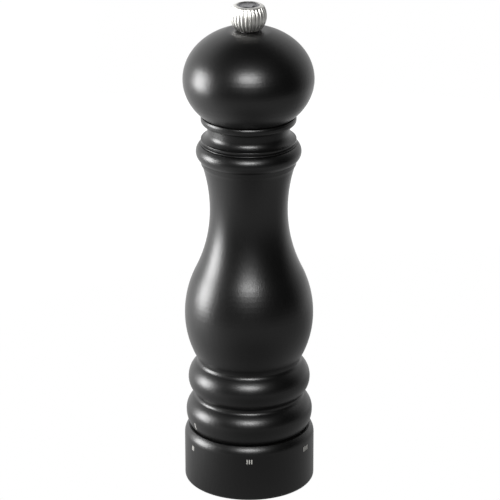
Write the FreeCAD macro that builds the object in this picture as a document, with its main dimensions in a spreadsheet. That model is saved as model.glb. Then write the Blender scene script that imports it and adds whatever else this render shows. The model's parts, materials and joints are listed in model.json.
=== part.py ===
import FreeCAD, Part
import math
import os
import sys
from types import SimpleNamespace

import Sketcher

# A turned pepper mill, 22 cm tall. Its head turns a square shaft and with it the rotor burr. The
# base ring turns on the mechanism housing, and two ramps in it lift or lower the rotor.
# Origin: middle of the foot, on the table. +Z is up, and the front faces -Y.

# Driving sizes in millimetres, angles in degrees. Heights are counted from the feature below.
driving = {
    # adjuster ring, turned wood
    "ring_wall": 6.3,
    "ring_height": 25.5,
    "ring_foot_round": 1.7,
    "ring_crown_round": 6.0,
    "ring_crown_rise": 4.3,
    "ring_foot_room": 1.0,
    "ring_foot_depth": 5.0,
    # the radius that both the body's bulge and the head's dome are turned to
    "wood_radius": 28.34,
    # mill body, turned wood. The steps are how far in each form is turned
    "seam_gap": 0.5,
    "lower_bead_step": 0.33,
    "lower_bead_round": 8.0,
    "lower_bead_under_round": 13.0,
    "lower_bead_height": 6.8,
    "lower_lip_step": 3.06,
    "lower_lip_height": 14.9,
    "bead_groove_step": 4.16,
    "upper_bead_step": 1.37,
    "upper_bead_round": 9.3,
    "upper_bead_height": 7.6,
    "upper_lip_step": 3.07,
    "upper_lip_height": 16.8,
    "bulge_height": 21.15,
    "bulge_lower_round": 42.2,
    "bulge_upper_round": 46.0,
    "neck_radius": 17.04,
    "neck_height": 48.55,
    "neck_flare_round": 70.0,
    "neck_flare_height": 20.5,
    "collar_lip_radius": 20.65,
    "collar_lip_rise": 0.7,
    "collar_bead_radius": 22.9,
    "collar_bead_round": 4.6,
    "collar_bead_height": 6.35,
    "quirk_outer_radius": 21.15,
    "quirk_radius": 20.4,
    "quirk_height": 0.2,
    "band_radius": 20.9,
    "band_height": 0.6,
    "band_round": 0.25,
    "upper_band_radius": 20.7,
    "upper_band_height": 1.55,
    "cove_neck_radius": 17.85,
    "cove_height": 3.4,
    "cove_neck_height": 2.84,
    "bore_radius": 12.5,
    "socket_radius": 14.3,
    "socket_depth": 17.25,
    # head, turned wood
    "joint_gap": 0.6,
    "foot_radius": 20.7,
    "foot_round": 1.6,
    "foot_height": 3.35,
    "foot_edge_round": 0.35,
    "dome_height": 16.46,
    "dome_lower_rise": 22.9,
    "dome_upper_rise": 23.1,
    "spigot_radius": 14.0,
    "spigot_length": 15.85,
    "head_bore_radius": 4.6,
    "head_thread_bore_radius": 3.3,
    "knob_seat_depth": 1.3,
    # mechanism housing, moulded
    "housing_bore": 12.0,
    "housing_wall": 3.0,
    "housing_drop": 16.7,
    "housing_rise": 21.0,
    "boss_width": 5.0,
    "boss_drop": 6.0,
    "boss_seat_depth": 2.5,
    "ledge_width": 1.1,
    "ledge_thickness": 1.5,
    "ledge_height": 9.7,
    "spider_thickness": 4.0,
    "spider_hub_radius": 7.5,
    "spider_arm_width": 3.0,
    "spider_arm_count": 3,
    # housing screws
    "housing_screw_inset": 2.5,
    "housing_screw_radius": 1.2,
    "housing_screw_length": 10.5,
    "housing_screw_head_radius": 2.1,
    "housing_screw_head_height": 1.4,
    "housing_screw_count": 3,
    "counterbore_depth": 4.5,
    # burrs
    "stator_mouth_radius": 9.9,
    "stator_throat_radius": 8.0,
    "stator_throat_height": 6.2,
    "stator_rim": 0.55,
    "stator_height": 16.0,
    "stator_tooth_count": 30,
    "rotor_foot_radius": 9.3,
    "rotor_foot_height": 1.0,
    "rotor_waist_radius": 7.4,
    "rotor_waist_height": 7.55,
    "rotor_top_radius": 6.2,
    "rotor_height": 15.55,
    "fine_tooth_count": 30,
    "tooth_depth": 0.5,
    "tooth_width": 0.7,
    "feed_groove_count": 8,
    "feed_groove_depth": 1.1,
    "feed_groove_width": 2.0,
    "feed_groove_length": 9.2,
    # drive shaft and what it carries
    "shaft_square": 6.0,
    "shaft_end_lift": 0.6,
    "thread_radius": 2.9,
    "thread_length": 14.0,
    "thread_engagement": 8.6,
    "bush_radius": 5.0,
    "bush_overhang": 0.4,
    "bush_flange_radius": 6.8,
    "bush_flange_thickness": 1.45,
    "clip_radius": 6.5,
    "clip_thickness": 0.6,
    "spring_washer_radius": 6.0,
    "spring_washer_hole": 4.4,
    "spring_washer_thickness": 0.8,
    "spring_wire_radius": 0.5,
    "spring_radius": 5.3,
    "spring_turns": 4.0,
    # lift bridge
    "bridge_hub_radius": 7.0,
    "bridge_thickness": 2.6,
    "bridge_arm_width": 4.0,
    "bridge_foot_height": 1.2,
    "thrust_washer_radius": 6.8,
    "thrust_washer_hole": 4.6,
    "thrust_washer_thickness": 0.8,
    # cam ring, moulded
    "cam_lip_thickness": 1.9,
    "cam_wall_thickness": 2.45,
    "cam_top_drop": 0.2,
    "ramp_rest_height": 1.3,
    "ramp_pitch": 1.5,
    "ramp_depth": 1.85,
    "ramp_width": 2.0,
    "ramp_spacing": 0.4,
    "ramp_clearance": 0.1,
    "ramp_turn": 345.0,
    "ramp_rest_turn": 270.0,
    "lift_room": 0.6,
    "notch_radius": 0.8,
    "notch_length": 4.7,
    "level_count": 6,
    # click spring
    "click_pocket_depth": 2.4,
    "click_pocket_half_span": 6.6,
    "click_pocket_lift": 1.0,
    "click_pocket_height": 4.0,
    "click_half_span": 6.0,
    "click_end_inset": 1.9,
    "click_thickness": 0.4,
    "click_width": 3.4,
    "click_nose_inset": 0.15,
    "click_nose_half_width": 0.7,
    "click_nose_round": 0.8,
    # retaining ring and its screws
    "retainer_width": 2.5,
    "retainer_thickness": 1.8,
    "retainer_screw_count": 4,
    "retainer_screw_radius": 0.8,
    "retainer_screw_length": 6.0,
    "retainer_screw_head_radius": 1.4,
    "retainer_screw_head_height": 0.9,
    # head drive plate and its screws
    "plate_radius": 11.0,
    "plate_thickness": 1.6,
    "plate_screw_circle": 7.6,
    "plate_screw_radius": 1.2,
    "plate_screw_length": 9.0,
    "plate_screw_head_radius": 2.2,
    "plate_screw_head_height": 1.2,
    "plate_screw_count": 2,
    # knob, its disc and its washer
    "washer_radius": 3.8,
    "washer_thickness": 0.4,
    "knob_radius": 7.9,
    "knob_foot_radius": 5.4,
    "knob_height": 10.8,
    "knob_widest_height": 5.9,
    "knob_shoulder_radius": 6.7,
    "knob_shoulder_drop": 0.6,
    "knob_rim_radius": 6.5,
    "knob_rim_edge_drop": 0.5,
    "knob_disc_radius": 5.0,
    "knob_disc_sink": 0.25,
    "knob_disc_thickness": 1.0,
    "knob_disc_ring_radius": 3.6,
    "knob_disc_ring_width": 0.4,
    "knob_disc_ring_depth": 0.15,
    "knob_hole_depth": 9.1,
    "flute_count": 28,
    "flute_radius": 0.75,
    "flute_depth": 0.36,
    "flute_sweep": 125.0,
    # clearances
    "running_fit": 0.05,
    "seat_fit": 0.05,
    "face_gap": 0.3,
}



class Measure:
    """A number that also carries the sheet expression it comes from."""

    def __init__(self, value, text):
        self.value, self.text = value, text

    def join(self, sign, other, result):
        return Measure(result, f"({self.text} {sign} {other.text})")

    def __add__(self, other):
        other = measure(other)
        return self.join("+", other, self.value + other.value)

    def __sub__(self, other):
        other = measure(other)
        return self.join("-", other, self.value - other.value)

    def __mul__(self, other):
        other = measure(other)
        return self.join("*", other, self.value * other.value)

    def __truediv__(self, other):
        other = measure(other)
        return self.join("/", other, self.value / other.value)

    def __neg__(self):
        return measure(0) - self


def measure(number):
    return number if isinstance(number, Measure) else Measure(float(number), repr(number))


def root(square):
    return Measure(math.sqrt(square.value), f"sqrt({square.text})")


def leg(long_side, short_side):
    """The third side of a right triangle."""
    return root(long_side * long_side - short_side * short_side)


def rounding(inward, along):
    """Radius of the arc that starts in line with `along` and ends that far on, and `inward` aside."""
    return (inward * inward + along * along) / (inward * 2)


document = FreeCAD.newDocument("PepperMill")
sheet = document.addObject("Spreadsheet::Sheet", "Sizes")
for row, (name, number) in enumerate(driving.items(), start=1):
    sheet.set(f"A{row}", name)
    sheet.set(f"B{row}", str(number))
    sheet.setAlias(f"B{row}", name)
document.recompute()
size = SimpleNamespace(**{name: Measure(float(number), f"Sizes.{name}") for name, number in driving.items()})


# Ways of building


def new_piece(name):
    body = document.addObject("PartDesign::Body", name)
    body.Label = name
    body.AllowCompound = True
    return body


def origin_part(body, role):
    return next(part for part in body.Origin.OriginFeatures if part.Role == role)


def new_sketch(body, name, role="XZ_Plane", height=None):
    """A sketch on one of the body's own planes. XZ shows radius across and height up."""
    sketch = body.newObject("Sketcher::SketchObject", name)
    sketch.AttachmentSupport = (origin_part(body, role), [""])
    sketch.MapMode = "FlatFace"
    if height is not None:
        sketch.setExpression("AttachmentOffset.Base.z", height.text)
    return sketch


def bind(sketch, kind, *where, length):
    """One dimension of a sketch, tied to its measure."""
    number = sketch.addConstraint(Sketcher.Constraint(kind, *where, length.value))
    sketch.setExpression(f"Constraints[{number}]", length.text)


def place_point(sketch, edge, end, across, up):
    for kind, axis, length in (("DistanceX", -2, across), ("DistanceY", -1, up)):
        if abs(length.value) < 1e-9:
            sketch.addConstraint(Sketcher.Constraint("PointOnObject", edge, end, axis))
        else:
            bind(sketch, kind, -1, 1, edge, end, length=length)


def arc_between(start, end, radius, side):
    """The shorter arc from start to end, with its centre on the left or the right of the way."""
    chord = end - start
    away = math.sqrt(max(radius**2 - (chord.Length / 2) ** 2, 0))
    normal = FreeCAD.Vector(-chord.y, chord.x, 0).normalize()
    centre = (start + end) / 2 + normal * (away if side == "left" else -away)
    first, last = (start, end) if side == "left" else (end, start)
    low = math.atan2(first.y - centre.y, first.x - centre.x)
    high = math.atan2(last.y - centre.y, last.x - centre.x)
    circle = Part.Circle(centre, FreeCAD.Vector(0, 0, 1), radius)
    return Part.ArcOfCircle(circle, low, high if high > low else high + 2 * math.pi)


def draw_outline(sketch, corners):
    """A closed outline. A corner is (across, up), or (across, up, radius, side) where the edge
    that leaves it is an arc."""
    corners = [tuple(x if isinstance(x, str) else measure(x) for x in corner) for corner in corners]
    points = [FreeCAD.Vector(corner[0].value, corner[1].value, 0) for corner in corners]
    ends = []
    for number, corner in enumerate(corners):
        start, end = points[number], points[(number + 1) % len(points)]
        if len(corner) == 2:
            sketch.addGeometry(Part.LineSegment(start, end), False)
            ends.append((1, 2))
        else:
            sketch.addGeometry(arc_between(start, end, corner[2].value, corner[3]), False)
            ends.append((1, 2) if corner[3] == "left" else (2, 1))
    for number in range(len(corners)):
        before = (number - 1) % len(corners)
        joined = (before, ends[before][1], number, ends[number][0])
        sketch.addConstraint(Sketcher.Constraint("Coincident", *joined))
    for number, corner in enumerate(corners):
        place_point(sketch, number, ends[number][0], corner[0], corner[1])
        if len(corner) == 4:
            bind(sketch, "Radius", number, length=corner[2])


def draw_circle(sketch, radius, across=0, up=0):
    across, up = measure(across), measure(up)
    middle = FreeCAD.Vector(across.value, up.value, 0)
    edge = sketch.addGeometry(Part.Circle(middle, FreeCAD.Vector(0, 0, 1), radius.value), False)
    place_point(sketch, edge, 3, across, up)
    bind(sketch, "Radius", edge, length=radius)


def rectangle(low_across, high_across, low_up, high_up):
    return [(low_across, low_up), (high_across, low_up), (high_across, high_up), (low_across, high_up)]


def turn(body, corners, name="Turned", cut=False):
    """A solid, or with cut a groove, turned from an outline of radius and height."""
    sketch = new_sketch(body, name + "Outline")
    draw_outline(sketch, corners)
    feature = body.newObject("PartDesign::Groove" if cut else "PartDesign::Revolution", name)
    feature.Profile = sketch
    feature.ReferenceAxis = (sketch, ["V_Axis"])
    feature.Angle = 360.0
    document.recompute()
    return feature


def extrude(body, sketch, length, name, cut=False, both_ways=False):
    """A pad upward from the sketch, or with cut a pocket upward."""
    feature = body.newObject("PartDesign::Pocket" if cut else "PartDesign::Pad", name)
    feature.Profile = sketch
    feature.setExpression("Length", length.text)
    feature.Midplane = both_ways
    feature.Reversed = cut and not both_ways
    document.recompute()
    return feature


def block(body, corners, bottom, top, name, cut=False):
    """A prism, or with cut a hole, over an outline seen from above."""
    sketch = new_sketch(body, name + "Outline", "XY_Plane", bottom)
    draw_outline(sketch, corners)
    return extrude(body, sketch, top - bottom, name, cut)


def bar(body, radius, bottom, top, name, across=0, up=0, cut=False):
    """A round bar, or with cut a round hole, that stands at a place beside the axis."""
    sketch = new_sketch(body, name + "Circle", "XY_Plane", bottom)
    draw_circle(sketch, radius, across, up)
    return extrude(body, sketch, top - bottom, name, cut)


def repeat(body, features, count, name):
    """Copies of features around the mill's axis."""
    pattern = body.newObject("PartDesign::PolarPattern", name)
    pattern.Originals = features
    pattern.Axis = (origin_part(body, "Z_Axis"), [""])
    pattern.Angle = 360.0
    pattern.setExpression("Occurrences", count.text)
    body.Tip = pattern
    document.recompute()


def slots(body, corners, width, count, name):
    """Slots of one width, cut where an outline of radius and height stands, all around."""
    sketch = new_sketch(body, name + "Outline")
    draw_outline(sketch, corners)
    repeat(body, [extrude(body, sketch, width, name, cut=True, both_ways=True)], count, name + "Round")


def square_hole(body, side, bottom, top):
    half = side / 2
    block(body, rectangle(-half, half, -half, half), bottom, top, "SquareHole", cut=True)


def coil(body, corners, pitch, turns, name, left_handed=False, circle=None):
    """A section carried up around the axis: an outline, or a circle (radius, across, up)."""
    sketch = new_sketch(body, name + "Section")
    if circle:
        draw_circle(sketch, *circle)
    else:
        draw_outline(sketch, corners)
    feature = body.newObject("PartDesign::AdditiveHelix", name)
    feature.Profile = sketch
    feature.ReferenceAxis = (sketch, ["V_Axis"])
    feature.Mode = "pitch-turns-angle"
    feature.setExpression("Pitch", pitch.text)
    feature.setExpression("Turns", turns.text)
    feature.Angle = 0.0
    feature.LeftHanded = left_handed
    document.recompute()


def screws(name, circle, tip, seat, foot, shank_radius, head_radius, count, start=(1, 0)):
    """A group of screws that point up: their tip, the seat of their head, and the head's foot.
    The first stands on the circle in the direction `start`."""
    body = new_piece(name)
    place = [circle * share for share in start]
    shank = bar(body, shank_radius, seat, tip, "Shank", *place)
    head = bar(body, head_radius, foot, seat, "Head", *place)
    repeat(body, [shank, head], count, "ScrewRing")


# Heights that several pieces share

body_bottom = size.ring_height + size.seam_gap
lower_bead_z = body_bottom + size.lower_bead_height
lower_lip_z = body_bottom + size.lower_lip_height
upper_bead_z = lower_lip_z + size.upper_bead_height
upper_lip_z = lower_lip_z + size.upper_lip_height
bulge_z = upper_lip_z + size.bulge_height
neck_z = bulge_z + size.neck_height
neck_top = neck_z + size.neck_flare_height
collar_bead_z = neck_top + size.collar_bead_height
collar_bead_core = size.collar_bead_radius - size.collar_bead_round
quirk_z = collar_bead_z + leg(size.collar_bead_round, size.quirk_outer_radius - collar_bead_core)
band_z = quirk_z + size.quirk_height
upper_band_z = band_z + size.band_height
cove_foot = upper_band_z + size.upper_band_height
cove_top = cove_foot + size.cove_height
body_top = cove_top + size.cove_neck_height
socket_floor = body_top - size.socket_depth

head_bottom = body_top + size.joint_gap
foot_top = head_bottom + size.foot_height
dome_z = foot_top + size.dome_height
knob_seat = dome_z + size.dome_upper_rise - size.knob_seat_depth
spigot_bottom = head_bottom - size.spigot_length
plate_bottom = spigot_bottom - size.plate_thickness
knob_bottom = knob_seat + size.washer_thickness
knob_top = knob_bottom + size.knob_height
disc_recess = knob_top - size.knob_disc_sink - size.knob_disc_thickness

tube_bottom = body_bottom - size.housing_drop
tube_top = body_bottom + size.housing_rise
boss_bottom = body_bottom - size.boss_drop
boss_top = body_bottom + size.boss_seat_depth
ledge_top = tube_bottom + size.ledge_height
ledge_bottom = ledge_top - size.ledge_thickness
spider_bottom = tube_top - size.spider_thickness
housing_screw_seat = boss_bottom + size.counterbore_depth
housing_screw_tip = housing_screw_seat + size.housing_screw_length
retainer_bottom = tube_bottom - size.retainer_thickness
retainer_screw_tip = retainer_bottom + size.retainer_screw_length
diagonal = (math.sqrt(0.5), math.sqrt(0.5))

cam_floor = tube_bottom + size.face_gap + size.cam_lip_thickness
cam_top = size.ring_height - size.cam_top_drop
ramp_rest = cam_floor + size.ramp_rest_height
arm_bottom = ramp_rest + size.bridge_foot_height
arm_top = arm_bottom + size.bridge_thickness
rotor_bottom = arm_top + size.thrust_washer_thickness + size.running_fit
rotor_top = rotor_bottom + size.rotor_height
shaft_bottom = rotor_bottom + size.shaft_end_lift
thread_bottom = knob_seat - size.thread_length
shaft_top = knob_bottom + size.thread_engagement
bush_bottom = spider_bottom - size.bush_overhang
bush_seat = tube_top + size.running_fit
clip_bottom = bush_bottom - size.clip_thickness
spring_seat = clip_bottom - size.spring_washer_thickness
click_bottom = boss_bottom + size.click_pocket_lift


# Radii that several pieces share, from the mechanism outwards and from the wood's surface inwards

housing_radius = size.housing_bore + size.housing_wall
ledge_radius = size.housing_bore - size.ledge_width
stator_radius = size.housing_bore - size.seat_fit
stator_funnel_radius = stator_radius - size.stator_rim
boss_radius = housing_radius + size.boss_width
housing_screw_circle = boss_radius - size.housing_screw_inset
click_pocket_radius = boss_radius - size.click_pocket_depth
click_end_radius = boss_radius - size.click_end_inset
retainer_radius = housing_radius + size.retainer_width
retainer_screw_circle = (size.housing_bore + housing_radius) / 2
inner_ramp = housing_radius + size.ramp_spacing
outer_ramp = inner_ramp + size.ramp_width + size.ramp_spacing
cam_wall_bore = boss_radius + size.running_fit
cam_wall_radius = cam_wall_bore + size.cam_wall_thickness
ring_bore = cam_wall_radius + size.seat_fit
ring_radius = ring_bore + size.ring_wall
ring_foot_bore = retainer_radius + size.ring_foot_room
lower_bead_radius = size.wood_radius - size.lower_bead_step
lower_lip_radius = lower_bead_radius - size.lower_lip_step
bead_groove_radius = lower_bead_radius - size.bead_groove_step
upper_bead_radius = size.wood_radius - size.upper_bead_step
upper_lip_radius = upper_bead_radius - size.upper_lip_step


# Turned wood


def make_adjuster_ring():
    body = new_piece("adjuster_ring")
    crown = size.ring_height - size.ring_crown_rise
    crown_core = ring_radius - size.ring_crown_round
    corners = [
        (ring_foot_bore, 0),
        (ring_radius - size.ring_foot_round, 0, size.ring_foot_round, "left"),
        (ring_radius, size.ring_foot_round),
        (ring_radius, crown, size.ring_crown_round, "left"),
        (crown_core + leg(size.ring_crown_round, size.ring_crown_rise), size.ring_height),
        (ring_bore, size.ring_height),
        (ring_bore, size.ring_foot_depth),
        (ring_foot_bore, size.ring_foot_depth),
    ]
    turn(body, corners)


def bead_side(radius, bead_round, middle, edge_radius, up):
    """The height at which a bead's arc has come in to a smaller radius."""
    rise = leg(bead_round, edge_radius - (radius - bead_round))
    return middle + rise if up else middle - rise


def hollow(radius, bead_round, middle, edge_radius, top_radius, top):
    """The small hollow between a bead's upper edge and the foot of the form above it."""
    edge = bead_side(radius, bead_round, middle, edge_radius, True)
    return (edge_radius, edge, rounding(edge_radius - top_radius, top - edge), "right")


def body_outside():
    """The turned outside of the mill body, from its foot to its top."""
    under_core = lower_bead_radius - size.lower_bead_under_round
    foot_radius = under_core + leg(size.lower_bead_under_round, size.lower_bead_height)
    lower_bead = (lower_bead_radius, size.lower_bead_round, lower_bead_z)
    upper_bead = (upper_bead_radius, size.upper_bead_round, upper_bead_z)
    bulge_core = size.wood_radius - size.bulge_lower_round
    bulge_foot = bulge_core + leg(size.bulge_lower_round, size.bulge_height)
    # the bulge's upper arc and the neck's arc meet in line where their centres' line crosses them
    narrowing = size.wood_radius - size.neck_radius
    both_rounds = rounding(narrowing, size.neck_height)
    share = size.bulge_upper_round / both_rounds
    meeting_radius = size.wood_radius - size.bulge_upper_round + (both_rounds - narrowing) * share
    neck_end = size.neck_radius + size.neck_flare_round - leg(size.neck_flare_round, size.neck_flare_height)
    collar_bead = (size.collar_bead_radius, size.collar_bead_round, collar_bead_z)
    cove_foot_radius = size.upper_band_radius - size.band_round
    cove_round = rounding(cove_foot_radius - size.cove_neck_radius, size.cove_height)
    return [
        (foot_radius, body_bottom, size.lower_bead_under_round, "left"),
        (lower_bead_radius, lower_bead_z, size.lower_bead_round, "left"),
        hollow(*lower_bead, lower_lip_radius, bead_groove_radius, lower_lip_z),
        (bead_groove_radius, lower_lip_z),
        (
            bead_groove_radius,
            bead_side(*upper_bead, bead_groove_radius, False),
            size.upper_bead_round,
            "left",
        ),
        hollow(*upper_bead, upper_lip_radius, bulge_foot, upper_lip_z),
        (bulge_foot, upper_lip_z, size.bulge_lower_round, "left"),
        (size.wood_radius, bulge_z, size.bulge_upper_round, "left"),
        (meeting_radius, bulge_z + size.neck_height * share, both_rounds - size.bulge_upper_round, "right"),
        (size.neck_radius, neck_z, size.neck_flare_round, "right"),
        (neck_end, neck_top),
        (size.collar_lip_radius, neck_top + size.collar_lip_rise),
        (
            size.collar_lip_radius,
            bead_side(*collar_bead, size.collar_lip_radius, False),
            size.collar_bead_round,
            "left",
        ),
        (size.quirk_outer_radius, quirk_z),
        (size.quirk_radius, quirk_z),
        (size.quirk_radius, band_z),
        (size.band_radius, band_z),
        (size.band_radius, upper_band_z - size.band_round, size.band_round, "left"),
        (size.band_radius - size.band_round, upper_band_z),
        (size.upper_band_radius, upper_band_z),
        (size.upper_band_radius, cove_foot - size.band_round, size.band_round, "left"),
        (cove_foot_radius, cove_foot, cove_round, "right"),
        (size.cove_neck_radius, cove_top),
        (size.cove_neck_radius, body_top),
    ]


def make_mill_body():
    body = new_piece("mill_body")
    boss_seat = boss_radius + size.seat_fit
    tube_seat = housing_radius + size.seat_fit
    tube_end = tube_top + size.face_gap
    inside = [
        (size.socket_radius, body_top),
        (size.socket_radius, socket_floor),
        (size.bore_radius, socket_floor),
        (size.bore_radius, tube_end),
        (tube_seat, tube_end),
        (tube_seat, boss_top + size.seat_fit),
        (boss_seat, boss_top + size.seat_fit),
        (boss_seat, body_bottom),
    ]
    turn(body, body_outside() + inside)
    place = {"across": housing_screw_circle, "cut": True}
    hole = bar(body, size.housing_screw_radius, boss_top, housing_screw_tip, "ScrewHole", **place)
    repeat(body, [hole], size.housing_screw_count, "ScrewHoles")


def make_head():
    body = new_piece("head")
    foot_bottom_radius = size.foot_radius - size.foot_round
    bore_step = thread_bottom + size.face_gap
    corners = [
        (size.head_bore_radius, spigot_bottom),
        (size.spigot_radius, spigot_bottom),
        (size.spigot_radius, head_bottom),
        (foot_bottom_radius, head_bottom, size.foot_round, "left"),
        (size.foot_radius, head_bottom + size.foot_round),
        (size.foot_radius, foot_top - size.foot_edge_round, size.foot_edge_round, "left"),
        (size.foot_radius - size.foot_edge_round, foot_top),
        (size.head_bore_radius, foot_top),
    ]
    turn(body, corners, "Foot")
    # the dome is two half ellipsoids, flatter above its widest height than below it
    tilt = f"asin({(size.dome_height / size.dome_lower_rise).text})"
    halves = (
        ("LowerDome", size.dome_lower_rise, f"-{tilt}", "0"),
        ("UpperDome", size.dome_upper_rise, "0", "90"),
    )
    for name, rise, low, high in halves:
        half = body.newObject("PartDesign::AdditiveEllipsoid", name)
        half.AttachmentSupport = (origin_part(body, "XY_Plane"), [""])
        half.MapMode = "FlatFace"
        half.setExpression("AttachmentOffset.Base.z", dome_z.text)
        half.setExpression("Radius1", rise.text)
        half.setExpression("Radius2", size.wood_radius.text)
        half.Radius3 = 0.0
        half.setExpression("Angle1", low)
        half.setExpression("Angle2", high)
        document.recompute()
    bar(body, size.wood_radius, knob_seat, knob_seat + size.dome_upper_rise, "KnobSeat", cut=True)
    bar(body, size.head_bore_radius, spigot_bottom, bore_step, "ShaftBore", cut=True)
    bar(body, size.head_thread_bore_radius, spigot_bottom, knob_seat, "ThreadBore", cut=True)
    place = {"across": size.plate_screw_circle, "cut": True}
    screw_tip = plate_bottom + size.plate_screw_length
    hole = bar(body, size.plate_screw_radius, spigot_bottom, screw_tip, "ScrewHole", **place)
    repeat(body, [hole], size.plate_screw_count, "ScrewHoles")


# Mechanism that stays with the body


def make_housing():
    body = new_piece("mechanism_housing")
    corners = [
        (size.housing_bore, tube_bottom),
        (housing_radius, tube_bottom),
        (housing_radius, boss_bottom),
        (boss_radius, boss_bottom),
        (boss_radius, boss_top),
        (housing_radius, boss_top),
        (housing_radius, tube_top),
        (size.housing_bore, tube_top),
        (size.housing_bore, ledge_top),
        (ledge_radius, ledge_top),
        (ledge_radius, ledge_bottom),
        (size.housing_bore, ledge_bottom),
    ]
    turn(body, corners)
    # spider: arms from the tube's wall to the hub that the shaft's bush turns in
    half_arm = size.spider_arm_width / 2
    arm_end = (size.housing_bore + housing_radius) / 2
    outline = rectangle(measure(0), arm_end, -half_arm, half_arm)
    arm = block(body, outline, spider_bottom, tube_top, "SpiderArm")
    repeat(body, [arm], size.spider_arm_count, "SpiderArms")
    bar(body, size.spider_hub_radius, spider_bottom, tube_top, "SpiderHub")
    bar(body, size.bush_radius + size.running_fit, spider_bottom, tube_top, "BushHole", cut=True)
    # two slots, open below, that guide the arms of the lift bridge
    half_slot = size.bridge_arm_width / 2 + size.face_gap / 3
    slot = new_sketch(body, "ArmSlotOutline")
    draw_outline(slot, rectangle(-half_slot, half_slot, retainer_bottom, arm_top + size.lift_room))
    extrude(body, slot, housing_radius * 2 + size.face_gap, "ArmSlots", cut=True, both_ways=True)
    place = {"across": housing_screw_circle, "cut": True}
    head_room = size.housing_screw_head_radius + size.face_gap
    wide = bar(body, head_room, boss_bottom, housing_screw_seat, "Counterbore", **place)
    shank_room = size.housing_screw_radius + size.seat_fit
    narrow = bar(body, shank_room, housing_screw_seat, boss_top, "ScrewHole", **place)
    repeat(body, [wide, narrow], size.housing_screw_count, "ScrewHoles")
    # the pocket of the click spring, in the boss's side
    half_span = size.click_pocket_half_span
    outer = boss_radius + size.face_gap
    outline = rectangle(-outer, -click_pocket_radius, -half_span, half_span)
    block(body, outline, click_bottom, click_bottom + size.click_pocket_height, "ClickPocket", cut=True)
    at = [retainer_screw_circle * share for share in diagonal]
    pilot = bar(body, size.retainer_screw_radius, tube_bottom, retainer_screw_tip, "Pilot", *at, cut=True)
    repeat(body, [pilot], size.retainer_screw_count, "Pilots")


def make_housing_screws():
    foot = housing_screw_seat - size.housing_screw_head_height
    heads = (size.housing_screw_radius, size.housing_screw_head_radius, size.housing_screw_count)
    screws("housing_screws", housing_screw_circle, housing_screw_tip, housing_screw_seat, foot, *heads)


def make_stator():
    body = new_piece("stator_burr")
    throat = ledge_top + size.stator_throat_height
    top = ledge_top + size.stator_height
    corners = [
        (size.stator_mouth_radius, ledge_top),
        (stator_radius, ledge_top),
        (stator_radius, top),
        (stator_funnel_radius, top),
        (size.stator_throat_radius, throat),
    ]
    turn(body, corners)
    depth = size.tooth_depth
    tooth = [
        (size.stator_mouth_radius - depth, ledge_top - depth),
        (size.stator_mouth_radius + depth, ledge_top - depth),
        (size.stator_throat_radius + depth, throat),
        (size.stator_throat_radius - depth, throat),
    ]
    slots(body, tooth, size.tooth_width, size.stator_tooth_count, "Tooth")


def make_click_spring():
    """A bent leaf whose nose stands in one of the cam ring's notches."""
    body = new_piece("click_spring")
    nose = boss_radius - size.click_nose_inset
    half = size.click_nose_half_width
    span = size.click_half_span
    inner_nose = nose - size.click_thickness
    inner_end = click_end_radius - size.click_thickness
    corners = [
        (-inner_end, -span),
        (-inner_nose, -half),
        (-inner_nose, half),
        (-inner_end, span),
        (-click_end_radius, span),
        (-nose, half, size.click_nose_round, "left"),
        (-nose, -half),
        (-click_end_radius, -span),
    ]
    bottom = click_bottom + (size.click_pocket_height - size.click_width) / 2
    block(body, corners, bottom, bottom + size.click_width, "Leaf")


def make_retaining_ring():
    body = new_piece("retaining_ring")
    turn(body, rectangle(size.housing_bore, retainer_radius, retainer_bottom, tube_bottom))
    at = [retainer_screw_circle * share for share in diagonal]
    shank_room = size.retainer_screw_radius + size.seat_fit
    hole = bar(body, shank_room, retainer_bottom, tube_bottom, "ScrewHole", *at, cut=True)
    repeat(body, [hole], size.retainer_screw_count, "ScrewHoles")


def make_retaining_screws():
    foot = retainer_bottom - size.retainer_screw_head_height
    heads = (size.retainer_screw_radius, size.retainer_screw_head_radius, size.retainer_screw_count)
    circle = retainer_screw_circle
    screws("retaining_screws", circle, retainer_screw_tip, retainer_bottom, foot, *heads, start=diagonal)


# Mechanism that turns with the head


def make_shaft():
    body = new_piece("drive_shaft")
    half = size.shaft_square / 2
    block(body, rectangle(-half, half, -half, half), shaft_bottom, thread_bottom, "Square")
    bar(body, size.thread_radius, thread_bottom, shaft_top, "Thread")


def make_bush():
    body = new_piece("shaft_bush")
    flange_top = bush_seat + size.bush_flange_thickness
    corners = [
        (0, bush_bottom),
        (size.bush_radius, bush_bottom),
        (size.bush_radius, bush_seat),
        (size.bush_flange_radius, bush_seat),
        (size.bush_flange_radius, flange_top),
        (0, flange_top),
    ]
    turn(body, corners)
    square_hole(body, size.shaft_square + size.running_fit * 2, bush_bottom, flange_top)


def make_clip():
    body = new_piece("shaft_clip")
    turn(body, rectangle(measure(0), size.clip_radius, clip_bottom, bush_bottom))
    square_hole(body, size.shaft_square, clip_bottom, bush_bottom)


def make_spring_washer():
    body = new_piece("spring_washer")
    turn(body, rectangle(size.spring_washer_hole, size.spring_washer_radius, spring_seat, clip_bottom))


def make_spring():
    body = new_piece("rotor_spring")
    foot = rotor_top + size.spring_wire_radius + size.running_fit
    length = spring_seat - size.spring_wire_radius - foot
    section = (size.spring_wire_radius, size.spring_radius, foot)
    coil(body, None, length / size.spring_turns, size.spring_turns, "Coil", circle=section)


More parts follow.
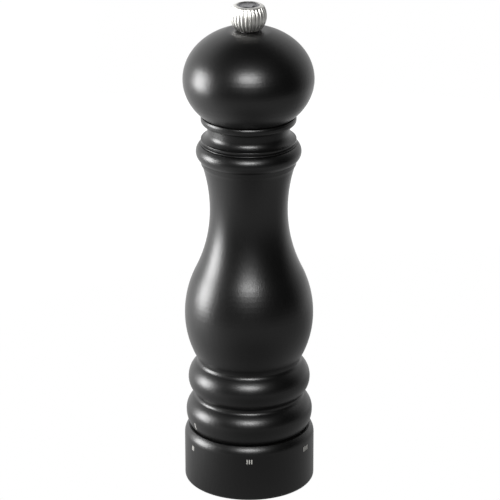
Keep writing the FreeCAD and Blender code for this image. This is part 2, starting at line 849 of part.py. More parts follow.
def make_rotor():
    body = new_piece("rotor_burr")
    foot = rotor_bottom + size.rotor_foot_height
    waist = rotor_bottom + size.rotor_waist_height
    corners = [
        (0, rotor_bottom),
        (size.rotor_foot_radius, rotor_bottom),
        (size.rotor_foot_radius, foot),
        (size.rotor_waist_radius, waist),
        (size.rotor_top_radius, rotor_top),
        (0, rotor_top),
    ]
    turn(body, corners)
    depth = size.tooth_depth
    tooth = [
        (size.rotor_foot_radius - depth, rotor_bottom - depth),
        (size.rotor_foot_radius + depth, rotor_bottom - depth),
        (size.rotor_foot_radius + depth, foot),
        (size.rotor_waist_radius + depth, waist),
        (size.rotor_waist_radius - depth, waist),
        (size.rotor_foot_radius - depth, foot),
    ]
    slots(body, tooth, size.tooth_width, size.fine_tooth_count, "Tooth")
    feed_end = rotor_top - size.feed_groove_length
    feed = [
        (size.rotor_waist_radius + depth, feed_end),
        (size.rotor_waist_radius + depth, rotor_top + depth),
        (size.rotor_top_radius - size.feed_groove_depth, rotor_top + depth),
        (size.rotor_top_radius - size.feed_groove_depth, rotor_top),
    ]
    slots(body, feed, size.feed_groove_width, size.feed_groove_count, "Feed")
    square_hole(body, size.shaft_square + size.running_fit * 2, rotor_bottom, rotor_top)


# Grind adjustment


def make_cam_ring():
    body = new_piece("cam_ring")
    lip_bottom = tube_bottom + size.face_gap
    recess = retainer_radius + size.face_gap
    journal = housing_radius + size.running_fit
    corners = [
        (recess, size.ring_foot_depth),
        (cam_wall_radius, size.ring_foot_depth),
        (cam_wall_radius, cam_top),
        (cam_wall_bore, cam_top),
        (cam_wall_bore, cam_floor),
        (journal, cam_floor),
        (journal, lip_bottom),
        (recess, lip_bottom),
    ]
    turn(body, corners)
    # two ramps, one inside the other, so that each can climb for nearly a whole turn. The bridge's
    # feet stand part of the way up them
    low = ramp_rest - size.ramp_pitch * size.ramp_rest_turn / 360
    turns = size.ramp_turn / 360
    for name, near, side in (("OuterRamp", outer_ramp, 1), ("InnerRamp", inner_ramp, -1)):
        far = near + size.ramp_width
        first, last = (near, far) if side > 0 else (-far, -near)
        outline = rectangle(first, last, low - size.ramp_depth, low)
        coil(body, outline, size.ramp_pitch, turns, name, left_handed=True)
    place = {"across": -cam_wall_bore, "cut": True}
    notch = bar(body, size.notch_radius, cam_top - size.notch_length, cam_top, "Notch", **place)
    repeat(body, [notch], size.level_count, "Notches")


def make_lift_bridge():
    body = new_piece("lift_bridge")
    half = size.bridge_arm_width / 2
    bar(body, size.bridge_hub_radius, arm_bottom, arm_top, "Hub")
    foot_bottom = ramp_rest + size.ramp_clearance
    inset = size.ramp_clearance
    ramps = (("Outer", outer_ramp, 1), ("Inner", inner_ramp, -1))
    for name, near, side in ramps:
        start, end = near + inset, near + size.ramp_width - inset
        first, last = (measure(0), end) if side > 0 else (-end, measure(0))
        block(body, rectangle(-half, half, first, last), arm_bottom, arm_top, name + "Arm")
        first, last = (start, end) if side > 0 else (-end, -start)
        block(body, rectangle(-half, half, first, last), foot_bottom, arm_bottom, name + "Foot")


def make_thrust_washer():
    body = new_piece("thrust_washer")
    top = arm_top + size.thrust_washer_thickness
    turn(body, rectangle(size.thrust_washer_hole, size.thrust_washer_radius, arm_top, top))


# Head fittings and knob


def make_drive_plate():
    body = new_piece("head_drive_plate")
    turn(body, rectangle(measure(0), size.plate_radius, plate_bottom, spigot_bottom))
    square_hole(body, size.shaft_square + size.running_fit * 2, plate_bottom, spigot_bottom)
    place = {"across": size.plate_screw_circle, "cut": True}
    shank_room = size.plate_screw_radius + size.seat_fit
    hole = bar(body, shank_room, plate_bottom, spigot_bottom, "ScrewHole", **place)
    repeat(body, [hole], size.plate_screw_count, "ScrewHoles")


def make_plate_screws():
    foot = plate_bottom - size.plate_screw_head_height
    tip = plate_bottom + size.plate_screw_length
    heads = (size.plate_screw_radius, size.plate_screw_head_radius, size.plate_screw_count)
    screws("drive_plate_screws", size.plate_screw_circle, tip, plate_bottom, foot, *heads)


def make_knob_washer():
    body = new_piece("knob_washer")
    hole = size.thread_radius + size.face_gap
    turn(body, rectangle(hole, size.washer_radius, knob_seat, knob_bottom))


def make_knob():
    body = new_piece("knob")
    widest = knob_bottom + size.knob_widest_height
    shoulder = knob_top - size.knob_shoulder_drop
    lower_round = rounding(size.knob_radius - size.knob_foot_radius, size.knob_widest_height)
    upper_round = rounding(size.knob_radius - size.knob_shoulder_radius, shoulder - widest)
    corners = [
        (0, knob_bottom),
        (size.knob_foot_radius, knob_bottom, lower_round, "left"),
        (size.knob_radius, widest, upper_round, "left"),
        (size.knob_shoulder_radius, shoulder),
        (0, shoulder),
    ]
    turn(body, corners, "Barrel")
    # each flute is a small round carried along the barrel's side, around an axis across the knob
    swing = size.knob_radius - lower_round
    flute = new_sketch(body, "FluteCircle", "XY_Plane", widest)
    draw_circle(flute, size.flute_radius, size.knob_radius + size.flute_radius - size.flute_depth)
    axis = Part.LineSegment(FreeCAD.Vector(swing.value, -1, 0), FreeCAD.Vector(swing.value, 1, 0))
    edge = flute.addGeometry(axis, True)
    bind(flute, "DistanceX", -1, 1, edge, 1, length=swing)
    flute.addConstraint(Sketcher.Constraint("Vertical", edge))
    groove = body.newObject("PartDesign::Groove", "Flute")
    groove.Profile = flute
    groove.ReferenceAxis = (flute, ["Axis0"])
    groove.setExpression("Angle", size.flute_sweep.text)
    groove.Midplane = True
    document.recompute()
    repeat(body, [groove], size.flute_count, "Flutes")
    # the plain rim closes the flutes at the top, and holds the disc
    rim_edge = knob_top - size.knob_rim_edge_drop
    rim_width = size.knob_rim_radius - size.knob_disc_radius
    rim = [
        (0, shoulder - size.knob_disc_thickness),
        (size.knob_rim_radius, shoulder - size.knob_disc_thickness),
        (size.knob_rim_radius, rim_edge, rounding(size.knob_rim_edge_drop, rim_width), "left"),
        (size.knob_disc_radius, knob_top),
        (size.knob_disc_radius, disc_recess),
        (0, disc_recess),
    ]
    turn(body, rim, "Rim")
    bar(body, size.knob_disc_radius, disc_recess, knob_top, "DiscRecess", cut=True)
    hole_top = knob_bottom + size.knob_hole_depth
    bar(body, size.thread_radius + size.running_fit, knob_bottom, hole_top, "ThreadHole", cut=True)


def make_knob_disc():
    body = new_piece("knob_disc")
    top = knob_top - size.knob_disc_sink
    ring = size.knob_disc_ring_radius
    corners = [
        (0, disc_recess),
        (size.knob_disc_radius - size.seat_fit, disc_recess),
        (size.knob_disc_radius - size.seat_fit, top),
        (ring + size.knob_disc_ring_width, top),
        (ring + size.knob_disc_ring_width, top - size.knob_disc_ring_depth),
        (ring, top - size.knob_disc_ring_depth),
        (ring, top),
        (0, top),
    ]
    turn(body, corners)


make_adjuster_ring()
make_cam_ring()
make_mill_body()
make_housing()
make_housing_screws()
make_stator()
make_click_spring()
make_retaining_ring()
make_retaining_screws()
make_shaft()
make_bush()
make_clip()
make_spring_washer()
make_spring()
make_rotor()
make_lift_bridge()
make_thrust_washer()
make_head()
make_drive_plate()
make_plate_screws()
make_knob_washer()
make_knob()
make_knob_disc()
document.recompute()

failed = [thing.Name for thing in document.Objects if {"Invalid", "Error"} & set(thing.State)]
pieces = [thing for thing in document.Objects if thing.TypeId == "PartDesign::Body"]
failed += [piece.Label for piece in pieces if piece.Shape.isNull() or not piece.Shape.isValid()]
if failed:
    sys.exit("not built: " + ", ".join(failed))

os.makedirs("parts", exist_ok=True)
for piece in pieces:
    piece.Shape.exportStep(f"parts/{piece.Label}.step")
    solids = len(piece.Shape.Solids)
    print(f"{piece.Label}: {solids} solid(s), {piece.Shape.Volume:.1f} cubic mm")
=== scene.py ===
# A turned pepper mill: a beech head, body and base ring in satin black lacquer over a steel mechanism.
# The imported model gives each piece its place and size, and this script gives the looks.
import json
import math

import bmesh
import bpy
from mathutils import Matrix, Vector

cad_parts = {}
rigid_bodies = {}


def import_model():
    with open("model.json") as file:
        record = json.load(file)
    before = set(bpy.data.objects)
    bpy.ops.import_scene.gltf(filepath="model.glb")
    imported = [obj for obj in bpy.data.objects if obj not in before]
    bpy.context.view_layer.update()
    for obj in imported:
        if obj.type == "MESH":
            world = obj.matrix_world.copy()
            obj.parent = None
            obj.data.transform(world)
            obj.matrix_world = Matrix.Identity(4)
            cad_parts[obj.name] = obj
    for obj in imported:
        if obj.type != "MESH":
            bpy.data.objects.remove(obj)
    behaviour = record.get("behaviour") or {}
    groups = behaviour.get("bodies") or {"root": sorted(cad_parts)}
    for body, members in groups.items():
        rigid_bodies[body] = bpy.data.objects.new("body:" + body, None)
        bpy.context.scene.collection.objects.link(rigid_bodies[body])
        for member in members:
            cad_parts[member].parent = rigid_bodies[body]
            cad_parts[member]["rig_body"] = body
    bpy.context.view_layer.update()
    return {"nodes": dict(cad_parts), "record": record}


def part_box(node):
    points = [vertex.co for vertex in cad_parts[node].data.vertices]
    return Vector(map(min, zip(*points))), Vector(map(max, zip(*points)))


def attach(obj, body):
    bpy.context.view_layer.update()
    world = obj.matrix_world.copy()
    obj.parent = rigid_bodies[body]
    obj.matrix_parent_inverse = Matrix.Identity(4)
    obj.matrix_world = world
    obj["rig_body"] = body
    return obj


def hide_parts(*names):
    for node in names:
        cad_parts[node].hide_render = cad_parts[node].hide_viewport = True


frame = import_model()
cadNodes = frame["nodes"]
slotOf = {part["node"]: part["material_slot"] for part in frame["record"]["subparts"]}
mm = 0.001
upAxis = Vector((0, 0, 1))
print("frame loaded:", len(cadNodes), "nodes")


def linearColor(hexText):
    channels = [int(hexText[place : place + 2], 16) / 255 for place in (1, 3, 5)]
    linear = [c / 12.92 if c <= 0.04045 else ((c + 0.055) / 1.055) ** 2.4 for c in channels]
    return (*linear, 1.0)


def addNode(tree, kind, settings, links=()):
    # a socket goes by its label or number, and any other name is a setting of the node's own
    node = tree.nodes.new(kind)
    for name, value in settings.items():
        if isinstance(name, int) or name in node.inputs:
            node.inputs[name].default_value = value
        else:
            setattr(node, name, value)
    for name, source in links:
        tree.links.new(source, node.inputs[name])
    return node


def newMaterial(name):
    material = bpy.data.materials.new(name)
    material.use_nodes = True
    tree = material.node_tree
    tree.nodes.clear()
    place = addNode(tree, "ShaderNodeTexCoord", {}).outputs["Object"]
    return material, tree, place


def closeMaterial(tree, settings, links):
    shader = addNode(tree, "ShaderNodeBsdfPrincipled", settings, links)
    addNode(tree, "ShaderNodeOutputMaterial", {}, [("Surface", shader.outputs[0])])


def addPattern(tree, place, value):
    # a noise whose features have the given width and length, in metres, with the length upright
    across = 1 / value["width"]
    size = {"Scale": (across, across, 1 / value["length"])}
    scaled = addNode(tree, "ShaderNodeMapping", size, [("Vector", place)])
    settings = {"Scale": 1.0, **value["noise"]}
    pattern = addNode(tree, "ShaderNodeTexNoise", settings, [("Vector", scaled.outputs[0])])
    return pattern.outputs[0]


# Beech, turned on a lathe, pore-filled and sprayed with satin black lacquer. The film is smooth, with
# slow waves and a faint peel, and the grain still shows through it as long shallow furrows that break
# up the edge of a highlight. Real ones are about 0.1 mm wide, too fine to show, so these are coarser.
lacquer = {
    "colour": "#070707",
    "roughness": (0.31, 0.38),
    "ior": 1.5,
    "waves": {
        "width": 4 * mm,
        "length": 30 * mm,
        "depth": 0.02 * mm,
        "noise": {"Detail": 1.0},
    },
    "furrows": {
        "width": 0.7 * mm,
        "length": 9 * mm,
        "depth": 0.035 * mm,
        "noise": {"Detail": 3.0, "Roughness": 0.6},
    },
    "peel": {
        "width": 0.9 * mm,
        "length": 0.9 * mm,
        "depth": 0.0005 * mm,
        "noise": {"Detail": 2.0},
    },
}


def makeLacqueredBeech():
    material, tree, place = newMaterial("satinLacquerOnBeech")
    value = lacquer
    height = {}
    # each relief is laid over the one before it
    under = []
    for name in ("waves", "furrows", "peel"):
        height[name] = addPattern(tree, place, value[name])
        settings = {"Strength": 1.0, "Distance": value[name]["depth"]}
        links = [("Height", height[name]), *under]
        bump = addNode(tree, "ShaderNodeBump", settings, links)
        under = [("Normal", bump.outputs[0])]
    least, most = value["roughness"]
    limits = {"To Min": least, "To Max": most}
    sheen = addNode(tree, "ShaderNodeMapRange", limits, [("Value", height["furrows"])])
    closeMaterial(
        tree,
        {"Base Color": linearColor(value["colour"]), "IOR": value["ior"]},
        [("Roughness", sheen.outputs[0]), *under],
    )
    return material


# Beech as the turning tool left it inside, unlacquered: pale pinkish tan, dull, with darker growth
# bands and the short dark flecks of the wood's rays.
rawBeech = {
    "light": "#d2ab7c",
    "dark": "#b98a5b",
    "fleck": "#8f6340",
    "roughness": 0.7,
    "bands": {
        "width": 2.2 * mm,
        "length": 60 * mm,
        "noise": {"Detail": 4.0, "Distortion": 0.6},
    },
    "flecks": {
        "width": 0.3 * mm,
        "length": 2.5 * mm,
        "depth": 0.02 * mm,
        "noise": {"Detail": 1.0},
    },
    "fleckEdge": {"From Min": 0.62, "From Max": 0.72, "To Max": 0.6},
}


def makeRawBeech():
    material, tree, place = newMaterial("turnedBeech")
    value = rawBeech
    bands = addPattern(tree, place, value["bands"])
    flecks = addPattern(tree, place, value["flecks"])
    colours = {6: linearColor(value["dark"]), 7: linearColor(value["light"])}
    wood = addNode(tree, "ShaderNodeMix", {"data_type": "RGBA", **colours}, [(0, bands)])
    share = addNode(tree, "ShaderNodeMapRange", value["fleckEdge"], [("Value", flecks)])
    flecked = addNode(
        tree,
        "ShaderNodeMix",
        {"data_type": "RGBA", 7: linearColor(value["fleck"])},
        [(0, share.outputs[0]), (6, wood.outputs[2])],
    )
    settings = {"Strength": 1.0, "Distance": value["flecks"]["depth"]}
    bump = addNode(tree, "ShaderNodeBump", settings, [("Height", flecks)])
    closeMaterial(
        tree,
        {"Roughness": value["roughness"]},
        [("Base Color", flecked.outputs[2]), ("Normal", bump.outputs[0])],
    )
    return material


# Metals that were turned or ground: fine rings around the mill's axis where the grain is wide and
# low, upright drawing lines where it is tall, and an even grit where both measures are the same. A
# real grain is a few hundredths of a millimetre wide, too fine to show, so most are drawn coarser.
metals = {
    # stainless steel, turned and then satined: the knob and the fittings
    "satinStainless": {
        "colour": "#dddcd8",
        "roughness": (0.38, 0.49),
        "width": 0.6 * mm,
        "length": 0.05 * mm,
        "depth": 0.001 * mm,
    },
    # the knob's disc, brushed sheet left darker than the knob around it. The brushing is too fine to
    # show, so the grain is the slight unevenness of the sheet
    "brushedSteel": {
        "colour": "#77777a",
        "roughness": (0.25, 0.36),
        "width": 2.5 * mm,
        "length": 0.3 * mm,
        "depth": 0.02 * mm,
    },
    # hardened carbon steel with a dull phosphate finish: the burrs
    "hardenedSteel": {
        "colour": "#7d7f82",
        "roughness": (0.33, 0.44),
        "width": 0.2 * mm,
        "length": 0.2 * mm,
        "depth": 0.003 * mm,
    },
    # drawn and tempered spring wire and strip
    "springSteel": {
        "colour": "#a9abae",
        "roughness": (0.23, 0.34),
        "width": 0.15 * mm,
        "length": 0.4 * mm,
        "depth": 0.001 * mm,
    },
    # bearing brass, turned
    "turnedBrass": {
        "colour": "#c9a35a",
        "roughness": (0.25, 0.36),
        "width": 0.5 * mm,
        "length": 0.06 * mm,
        "depth": 0.001 * mm,
    },
}
metalNoise = {"Detail": 2.0}


def makeMetal(name):
    material, tree, place = newMaterial(name)
    value = metals[name]
    grain = addPattern(tree, place, {**value, "noise": metalNoise})
    settings = {"Strength": 1.0, "Distance": value["depth"]}
    bump = addNode(tree, "ShaderNodeBump", settings, [("Height", grain)])
    least, most = value["roughness"]
    limits = {"To Min": least, "To Max": most}
    shine = addNode(tree, "ShaderNodeMapRange", limits, [("Value", grain)])
    closeMaterial(
        tree,
        {"Base Color": linearColor(value["colour"]), "Metallic": 1.0},
        [("Roughness", shine.outputs[0]), ("Normal", bump.outputs[0])],
    )
    return material


# Black acetal, injection moulded in a spark-eroded mould: an even grit and a soft sheen. Real grit is
# about 0.1 mm wide, so it is drawn coarser.
mouldedAcetal = {
    "colour": "#191a1b",
    "roughness": 0.42,
    "ior": 1.48,
    "grit": {
        "width": 0.25 * mm,
        "length": 0.25 * mm,
        "depth": 0.004 * mm,
        "noise": {"Detail": 2.0},
    },
}


def makeMouldedAcetal():
    material, tree, place = newMaterial("mouldedAcetal")
    value = mouldedAcetal
    grit = addPattern(tree, place, value["grit"])
    settings = {"Strength": 1.0, "Distance": value["grit"]["depth"]}
    bump = addNode(tree, "ShaderNodeBump", settings, [("Height", grit)])
    closeMaterial(
        tree,
        {
            "Base Color": linearColor(value["colour"]),
            "Roughness": value["roughness"],
            "IOR": value["ior"],
        },
        [("Normal", bump.outputs[0])],
    )
    return material


# Warm white pad-printing ink on the lacquer: thin, nearly matt, a little patchy where it is thin.
padInk = {
    "thick": "#c4c3be",
    "thin": "#a8a7a2",
    "roughness": 0.5,
    "patches": {
        "width": 0.5 * mm,
        "length": 0.5 * mm,
        "noise": {"Detail": 2.0},
    },
}


def makePadInk():
    material, tree, place = newMaterial("padPrintingInk")
    value = padInk
    patches = addPattern(tree, place, value["patches"])
    colours = {6: linearColor(value["thin"]), 7: linearColor(value["thick"])}
    cover = addNode(tree, "ShaderNodeMix", {"data_type": "RGBA", **colours}, [(0, patches)])
    closeMaterial(tree, {"Roughness": value["roughness"]}, [("Base Color", cover.outputs[2])])
    return material


lacqueredBeech = makeLacqueredBeech()
turnedBeech = makeRawBeech()
acetal = makeMouldedAcetal()
ink = makePadInk()
metalOf = {name: makeMetal(name) for name in metals}
stainless = metalOf["satinStainless"]
materialOfSlot = {
    "black_wood": lacqueredBeech,
    "steel": stainless,
    "burr_steel": metalOf["hardenedSteel"],
    "spring_steel": metalOf["springSteel"],
    "brass": metalOf["turnedBrass"],
    "black_plastic": acetal,
}
materialOfNode = {"knob_disc": metalOf["brushedSteel"]}
print("materials made:", len(bpy.data.materials))


# Edges that turn more than the sharp angle stay sharp. Points closer than a gap count as one: in a
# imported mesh, where a plane cuts it, and in the section that comes of the cut.
sharpAngle = math.radians(30)
meshGap = 0.001 * mm
cutGap = 0.0001 * mm
sectionGap = 0.005 * mm
turnedSteps = 288


def closePiece(bm, name, body, materials):
    # every piece ends here: its mesh, its materials, its shading and its body
    mesh = bpy.data.meshes.new(name)
    bm.to_mesh(mesh)
    bm.free()
    for material in materials:
        mesh.materials.append(material)
    mesh.shade_smooth()
    mesh.set_sharp_from_angle(angle=sharpAngle)
    piece = bpy.data.objects.new(name, mesh)
    bpy.context.scene.collection.objects.link(piece)
    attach(piece, body)
    return piece


def nodeMesh(node):
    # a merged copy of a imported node's mesh
    bm = bmesh.new()
    bm.from_mesh(cadNodes[node].data)
    bmesh.ops.remove_doubles(bm, verts=bm.verts, dist=meshGap)
    return bm


def turnedCopy(node, angle):
    # the node's section at this angle, spun into a smooth surface
    bm = nodeMesh(node)
    bmesh.ops.rotate(bm, verts=bm.verts, matrix=Matrix.Rotation(-angle, 3, "Z"))
    everything = [*bm.verts, *bm.edges, *bm.faces]
    bmesh.ops.bisect_plane(
        bm, geom=everything, dist=cutGap, plane_no=(0, 1, 0), clear_inner=True, clear_outer=True
    )
    otherSide = [vert for vert in bm.verts if vert.co.x < 0]
    bmesh.ops.delete(bm, geom=otherSide, context="VERTS")
    bmesh.ops.remove_doubles(bm, verts=bm.verts, dist=sectionGap)
    section = [*bm.verts, *bm.edges]
    bmesh.ops.spin(
        bm, geom=section, axis=upAxis, angle=math.tau, steps=turnedSteps, use_merge=True
    )
    bmesh.ops.recalc_face_normals(bm, faces=bm.faces)
    return bm


# The three turned pieces of wood. Each angle is where the section passes no screw hole. The lacquer
# stops where a face looks inwards more than `inwards`, where 1 is straight away from the axis and -1
# straight at it, and it doesn't reach faces inside the body's bore or below the head's foot.
turned = {
    "mill_body": {
        "name": "turnedBody",
        "body": "mill",
        "angle": math.pi,
        "inwards": -0.3,
        "bareWithin": 14.2 * mm,
        "bareBelow": -1 * mm,
    },
    "head": {
        "name": "turnedHead",
        "body": "head",
        "angle": math.pi / 2,
        "inwards": -0.7,
        "bareWithin": 0,
        "bareBelow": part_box("mill_body")[1].z,
    },
    "adjuster_ring": {
        "name": "turnedRing",
        "body": "adjuster",
        "angle": 0,
        "inwards": -0.3,
        "bareWithin": 0,
        "bareBelow": -1 * mm,
    },
}


def makeTurned(node, value):
    bm = turnedCopy(node, value["angle"])
    woods = [lacqueredBeech, turnedBeech]
    piece = closePiece(bm, value["name"], value["body"], woods)
    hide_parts(node)
    for face in piece.data.polygons:
        place = face.center
        outwards = Vector((place.x, place.y, 0)).normalized()
        isInside = place.xy.length < value["bareWithin"] or place.z < value["bareBelow"]
        if isInside or face.normal.dot(outwards) < value["inwards"]:
            face.material_index = 1


for node, value in turned.items():
    makeTurned(node, value)
print("wood turned")


# Fine to coarse in six steps, counted in printed strokes around the base ring.
levelMarks = {
    "levels": 6,
    "frontLevel": 3,
    "strokeWidth": 0.48 * mm,
    "strokePitch": 1.0 * mm,
    "strokeHeight": 2.15 * mm,
    "strokeThickness": 0.06 * mm,
    "middleHeight": 19.15 * mm,
    "cornerRound": 0.12 * mm,
    "cornerSteps": 2,
}


def isRadial(edge):
    along = (edge.verts[1].co - edge.verts[0].co).normalized()
    middle = (edge.verts[1].co + edge.verts[0].co) / 2
    outwards = Vector((middle.x, middle.y, 0)).normalized()
    return abs(along.dot(outwards)) > 0.9


def makeLevelMarks():
    value = levelMarks
    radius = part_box("adjuster_ring")[1].x
    size = Matrix.Diagonal(
        (value["strokeWidth"], value["strokeThickness"], value["strokeHeight"], 1)
    )
    bm = bmesh.new()
    for level in range(1, value["levels"] + 1):
        groupTurn = (level - value["frontLevel"]) * math.tau / value["levels"]
        for stroke in range(level):
            strokeTurn = (stroke - (level - 1) / 2) * value["strokePitch"] / radius
            place = (
                Matrix.Rotation(groupTurn + strokeTurn, 4, "Z")
                @ Matrix.Translation((0, -radius, value["middleHeight"]))
                @ size
            )
            bmesh.ops.create_cube(bm, size=1, matrix=place)
    corners = [edge for edge in bm.edges if isRadial(edge)]
    bmesh.ops.bevel(
        bm,
        geom=corners,
        offset=value["cornerRound"],
        segments=value["cornerSteps"],
        affect="EDGES",
        profile=0.5,
        material=-1,
    )
    closePiece(bm, "levelMarks", "adjuster", [ink])


makeLevelMarks()


# The pointer that the strokes are read against: one stroke down the lower bead, over level two.
pointer = {
    "turn": math.radians(-60),
    "beadRadius": 28.01 * mm,
    "beadRound": 13.0 * mm,
    "beadHeight": 32.8 * mm,
    "top": math.radians(-7),
    "bottom": math.radians(-22),
    "width": 0.6 * mm,
    "thickness": 0.06 * mm,
    "steps": 12,
}


def makePointer():
    value = pointer
    bm = bmesh.new()
    bmesh.ops.create_grid(bm, x_segments=1, y_segments=1, size=0.5)
    bmesh.ops.delete(bm, geom=bm.faces[:], context="FACES_ONLY")
    core = Vector((0, value["beadRound"] - value["beadRadius"], value["beadHeight"]))
    start = (
        Matrix.Translation(core)
        @ Matrix.Rotation(-value["top"], 4, "X")
        @ Matrix.Translation((0, -value["beadRound"], 0))
        @ Matrix.Diagonal((value["width"], value["thickness"], 1, 1))
    )
    bmesh.ops.transform(bm, matrix=start, verts=bm.verts)
    outline = [*bm.verts, *bm.edges]
    sweep = value["top"] - value["bottom"]
    steps = value["steps"]
    bmesh.ops.spin(bm, geom=outline, cent=core, axis=(1, 0, 0), angle=sweep, steps=steps)
    bmesh.ops.holes_fill(bm, edges=bm.edges)
    bmesh.ops.recalc_face_normals(bm, faces=bm.faces)
    bmesh.ops.rotate(bm, verts=bm.verts, matrix=Matrix.Rotation(value["turn"], 3, "Z"))
    closePiece(bm, "pointer", "mill", [ink])


makePointer()
print("marks printed")


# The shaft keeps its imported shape, except that a right-hand thread is cut into its round end.
thread = {
    "pitch": 1.0 * mm,
    "depth": 0.5 * mm,
    "crestWidth": 0.14 * mm,
    "rootOverlap": 0.05 * mm,
    "runOut": 0.4 * mm,
    "stepsPerTurn": 40,
}


def makeShaft():
    value = thread
    bm = nodeMesh("drive_shaft")
    radii = {vert: vert.co.xy.length for vert in bm.verts}
    crest = min(radii.values())
    core = [vert for vert in bm.verts if radii[vert] < crest + value["depth"]]
    bottom = min(vert.co.z for vert in core) + value["runOut"]
    top = max(vert.co.z for vert in core) - value["runOut"]
    root = crest - value["depth"]
    narrower = Matrix.Diagonal((root / crest, root / crest, 1))
    bmesh.ops.transform(bm, matrix=narrower.to_4x4(), verts=core)
    inner = root - value["rootOverlap"]
    half = value["crestWidth"] / 2
    middle = value["pitch"] / 2
    section = [(inner, 0), (crest, middle - half), (crest, middle + half), (inner, 2 * middle)]
    corners = [bm.verts.new((across, 0, bottom + up)) for across, up in section]
    ends = range(len(corners))
    outline = [bm.edges.new((corners[end - 1], corners[end])) for end in ends]
    turns = int((top - bottom) / value["pitch"]) - 1
    steps = turns * value["stepsPerTurn"]
    bmesh.ops.spin(
        bm,
        geom=[*corners, *outline],
        axis=upAxis,
        dvec=upAxis * value["pitch"] / value["stepsPerTurn"],
        angle=turns * math.tau,
        steps=steps,
    )
    openEdges = [edge for edge in bm.edges if edge.is_boundary]
    bmesh.ops.holes_fill(bm, edges=openEdges)
    bmesh.ops.recalc_face_normals(bm, faces=bm.faces)
    shaft = closePiece(bm, "driveShaft", "shaft", [stainless])
    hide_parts("drive_shaft")


makeShaft()
print("shaft threaded")


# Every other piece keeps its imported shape, merged and smoothed over its round faces.
def smoothCopy(node):
    words = node.split("_")
    name = words[0] + "".join(word.capitalize() for word in words[1:])
    slotName = slotOf[node]
    material = materialOfNode.get(node, materialOfSlot[slotName])
    piece = closePiece(nodeMesh(node), name, cadNodes[node]["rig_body"], [material])
    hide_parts(node)
    return piece


unreplaced = [node for node in sorted(cadNodes) if not cadNodes[node].hide_render]
copyOf = {node: smoothCopy(node) for node in unreplaced}

# The rotor comes up on the finest setting, so the spring above it stands a little short of it.
rotorRise = 0.27 * mm
springFoot, springTop = (corner.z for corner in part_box("rotor_spring"))
springKeep = 1 - rotorRise / (springTop - springFoot)
for vertex in copyOf["rotor_spring"].data.vertices:
    vertex.co.z = springTop + (vertex.co.z - springTop) * springKeep
print("mechanism and knob smoothed")


# A small product studio: a softbox close on the left, one high in front, a white sweep behind and
# on both sides, and darkness behind the camera. Each tone is the brightness that the mill reflects,
# and it changes smoothly along one direction, from its first limits to its second.
studio = {
    "target": (0, 0, 0.11),
    "softboxes": {
        "leftSoftbox": {"power": 15.5, "place": (-0.95, 0.03, 0.22), "size": (0.46, 0.5)},
        "frontSoftbox": {"power": 16.5, "place": (0.0, -1.05, 0.85), "size": (0.62, 0.34)},
    },
    "leftTone": {"From Min": -0.3, "From Max": 0.6, "To Min": 0.0, "To Max": 1.2},
    "rightTone": {"From Min": 0.0, "From Max": 0.8, "To Min": 0.0, "To Max": 0.88},
    "rightShare": {"From Min": -0.4, "From Max": 0.2},
    "skyShare": {"From Min": 0.6, "From Max": 0.92},
    "skyTone": 0.025,
}
smooth = {"interpolation_type": "SMOOTHSTEP"}


def addSoftbox(name, value):
    lamp = bpy.data.lights.new(name, "AREA")
    lamp.shape = "RECTANGLE"
    lamp.size, lamp.size_y = value["size"]
    lamp.energy = value["power"]
    softbox = bpy.data.objects.new(name, lamp)
    bpy.context.scene.collection.objects.link(softbox)
    softbox.location = value["place"]
    softbox.rotation_mode = "QUATERNION"
    away = Vector(value["place"]) - Vector(studio["target"])
    softbox.rotation_quaternion = away.to_track_quat("Z", "Y")
    softbox.visible_camera = False


for name, value in studio["softboxes"].items():
    addSoftbox(name, value)


def surroundings(tree, parts):
    # dark in front, white behind, brighter round the left side than the right, and dark overhead
    across, backward, upward = parts.outputs
    sources = {
        "leftTone": backward,
        "rightTone": backward,
        "rightShare": across,
        "skyShare": upward,
    }
    tones = {}
    for name, source in sources.items():
        change = {**smooth, **studio[name]}
        tones[name] = addNode(tree, "ShaderNodeMapRange", change, [("Value", source)]).outputs[0]
    links = [(0, tones["rightShare"]), (2, tones["leftTone"]), (3, tones["rightTone"])]
    around = addNode(tree, "ShaderNodeMix", {"data_type": "FLOAT"}, links)
    settings = {"data_type": "FLOAT", 3: studio["skyTone"]}
    links = [(0, tones["skyShare"]), (2, around.outputs[0])]
    return addNode(tree, "ShaderNodeMix", settings, links).outputs[0]


def whiteForCamera(tree, level):
    # what the camera sees is plain white, and what the mill reflects is `level`
    isCamera = addNode(tree, "ShaderNodeLightPath", {}).outputs["Is Camera Ray"]
    links = [(0, level), (1, isCamera)]
    return addNode(tree, "ShaderNodeMath", {"operation": "MAXIMUM"}, links).outputs[0]


def makeWorld():
    world = bpy.data.worlds.new("studio")
    world.use_nodes = True
    bpy.context.scene.world = world
    tree = world.node_tree
    tree.nodes.clear()
    direction = addNode(tree, "ShaderNodeTexCoord", {}).outputs["Generated"]
    parts = addNode(tree, "ShaderNodeSeparateXYZ", {}, [("Vector", direction)])
    level = whiteForCamera(tree, surroundings(tree, parts))
    white = (1, 1, 1, 1)
    light = addNode(tree, "ShaderNodeBackground", {"Color": white}, [("Strength", level)])
    addNode(tree, "ShaderNodeOutputWorld", {}, [("Surface", light.outputs[0])])


makeWorld()


# The floor is a white disc that glows with the tones it would have under the softboxes. It is dimmer
# just before the mill, because the mill stands between it and the sweep.
whiteFloor = {
    "radius": 0.55,
    "corners": 96,
    "sideTone": {"From Min": -0.3, "From Max": 0.2, "To Min": 1.15, "To Max": 0.34},
    "sideShare": {"From Min": -0.25, "From Max": 0.0},
    "backShare": {"From Min": 0.05, "From Max": 0.35},
    "frontTone": 0.46,
    "backTone": 1.1,
    "shade": {"From Min": 0.02, "From Max": 0.18, "To Min": 0.4, "To Max": 1.0},
    "shadePlace": (0, -0.1, 0),
}


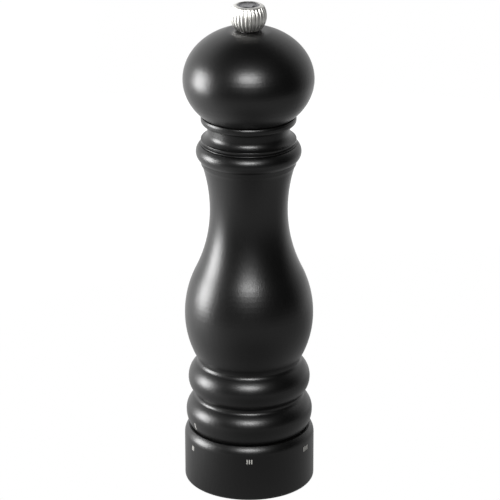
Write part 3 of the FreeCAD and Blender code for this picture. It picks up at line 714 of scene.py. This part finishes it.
def makeFloor():
    value = whiteFloor
    bm = bmesh.new()
    corners, radius = value["corners"], value["radius"]
    bmesh.ops.create_circle(bm, cap_ends=True, segments=corners, radius=radius)
    mesh = bpy.data.meshes.new("floor")
    bm.to_mesh(mesh)
    bm.free()
    floor = bpy.data.objects.new("floor", mesh)
    bpy.context.scene.collection.objects.link(floor)
    material, tree, place = newMaterial("whiteSweep")
    mesh.materials.append(material)
    parts = addNode(tree, "ShaderNodeSeparateXYZ", {}, [("Vector", place)])
    across, backward = parts.outputs[:2]
    settings = {"operation": "DISTANCE", 1: value["shadePlace"]}
    reach = addNode(tree, "ShaderNodeVectorMath", settings, [(0, place)]).outputs["Value"]
    sources = {
        "sideTone": across,
        "sideShare": backward,
        "backShare": backward,
        "shade": reach,
    }
    tones = {}
    for name, source in sources.items():
        change = {**smooth, **value[name]}
        tones[name] = addNode(tree, "ShaderNodeMapRange", change, [("Value", source)]).outputs[0]
    settings = {"data_type": "FLOAT", 2: value["frontTone"]}
    links = [(0, tones["sideShare"]), (3, tones["sideTone"])]
    beside = addNode(tree, "ShaderNodeMix", settings, links)
    settings = {"data_type": "FLOAT", 3: value["backTone"]}
    links = [(0, tones["backShare"]), (2, beside.outputs[0])]
    sweep = addNode(tree, "ShaderNodeMix", settings, links)
    links = [(0, sweep.outputs[0]), (1, tones["shade"])]
    shaded = addNode(tree, "ShaderNodeMath", {"operation": "MULTIPLY"}, links)
    level = whiteForCamera(tree, shaded.outputs[0])
    glow = addNode(tree, "ShaderNodeEmission", {}, [("Strength", level)])
    # seen from below the floor is clear, so that the underside can be looked at
    clear = addNode(tree, "ShaderNodeBsdfTransparent", {})
    backSide = addNode(tree, "ShaderNodeNewGeometry", {}).outputs["Backfacing"]
    links = [(0, backSide), (1, glow.outputs[0]), (2, clear.outputs[0])]
    either = addNode(tree, "ShaderNodeMixShader", {}, links)
    addNode(tree, "ShaderNodeOutputMaterial", {}, [("Surface", either.outputs[0])])


makeFloor()
print("studio lit")


# The camera looks down on the mill from the front through a long lens.
view = {
    "distance": 1.303,
    "elevation": math.radians(21.25),
    "aim": Vector((0, 0, 0.110)),
    "lens": 214.25,
    "roll": math.radians(-0.13),
    "shiftAcross": 0.0022,
    "shiftUp": -0.0082,
    "farthest": 20,
}
camera = bpy.data.objects.new("camera", bpy.data.cameras.new("camera"))
bpy.context.scene.collection.objects.link(camera)
back = Vector((0, -math.cos(view["elevation"]), math.sin(view["elevation"])))
camera.location = view["aim"] + back * view["distance"]
camera.rotation_mode = "QUATERNION"
facing = back.to_track_quat("Z", "Y")
camera.rotation_quaternion = facing @ Matrix.Rotation(view["roll"], 4, "Z").to_quaternion()
camera.data.lens = view["lens"]
camera.data.shift_x = view["shiftAcross"]
camera.data.shift_y = view["shiftUp"]
camera.data.clip_end = view["farthest"]
bpy.context.scene.camera = camera
bpy.context.scene.view_settings.view_transform = "Standard"

print("done")
